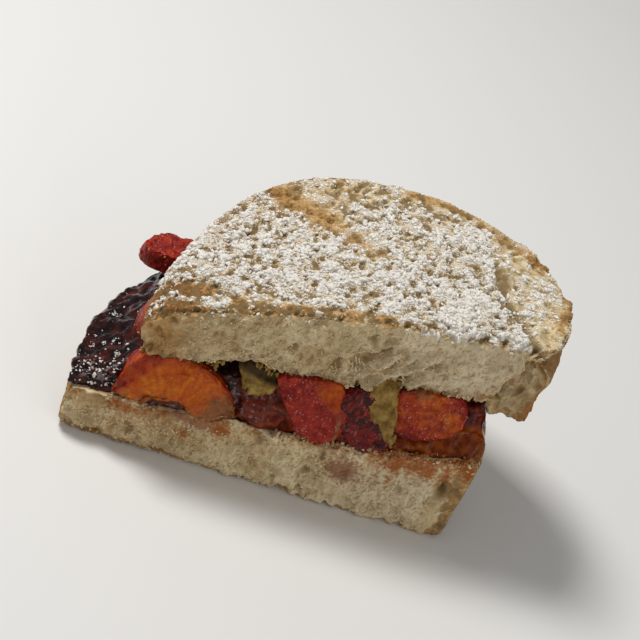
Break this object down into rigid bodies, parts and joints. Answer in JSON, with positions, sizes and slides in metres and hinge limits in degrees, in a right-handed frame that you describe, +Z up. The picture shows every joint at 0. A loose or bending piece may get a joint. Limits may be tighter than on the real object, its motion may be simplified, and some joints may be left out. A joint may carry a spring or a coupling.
{
  "type": "peanut butter and jelly sandwich half",
  "caption": "Cut half of a toasted peanut butter and jelly sandwich on thick country bread, with strawberry pieces in the jelly and powdered sugar on top.",
  "frame": {"origin": "middle of the flat base of the bottom slice, halfway along its cut edge and 33 mm behind it", "axes": "+Z is up from the base; +X runs along the cut edge from the thin left end to the thick right end; +Y runs back from the cut face to the crust"},
  "size_m": [0.1217, 0.071, 0.0663],
  "materials": {
    "bread": "matte toasted crumb, pale cream with golden brown patches and a darker crust",
    "peanut_butter": "smooth, slightly oily",
    "jelly": "wet and glossy, dark purple red, orange red where thin",
    "strawberry": "wet, red skin with pale seeds and orange red cut faces"
  },
  "bodies": {
    "root": {"bread_bottom": "bread", "jelly": "jelly", "strawberry_front_left": "strawberry", "strawberry_middle": "strawberry", "strawberry_jammed": "strawberry", "strawberry_right": "strawberry", "strawberry_left": "strawberry", "strawberry_back_left": "strawberry", "strawberry_back_right": "strawberry", "peanut_butter": "peanut_butter", "bread_top": "bread"}
  },
  "joints": []
}
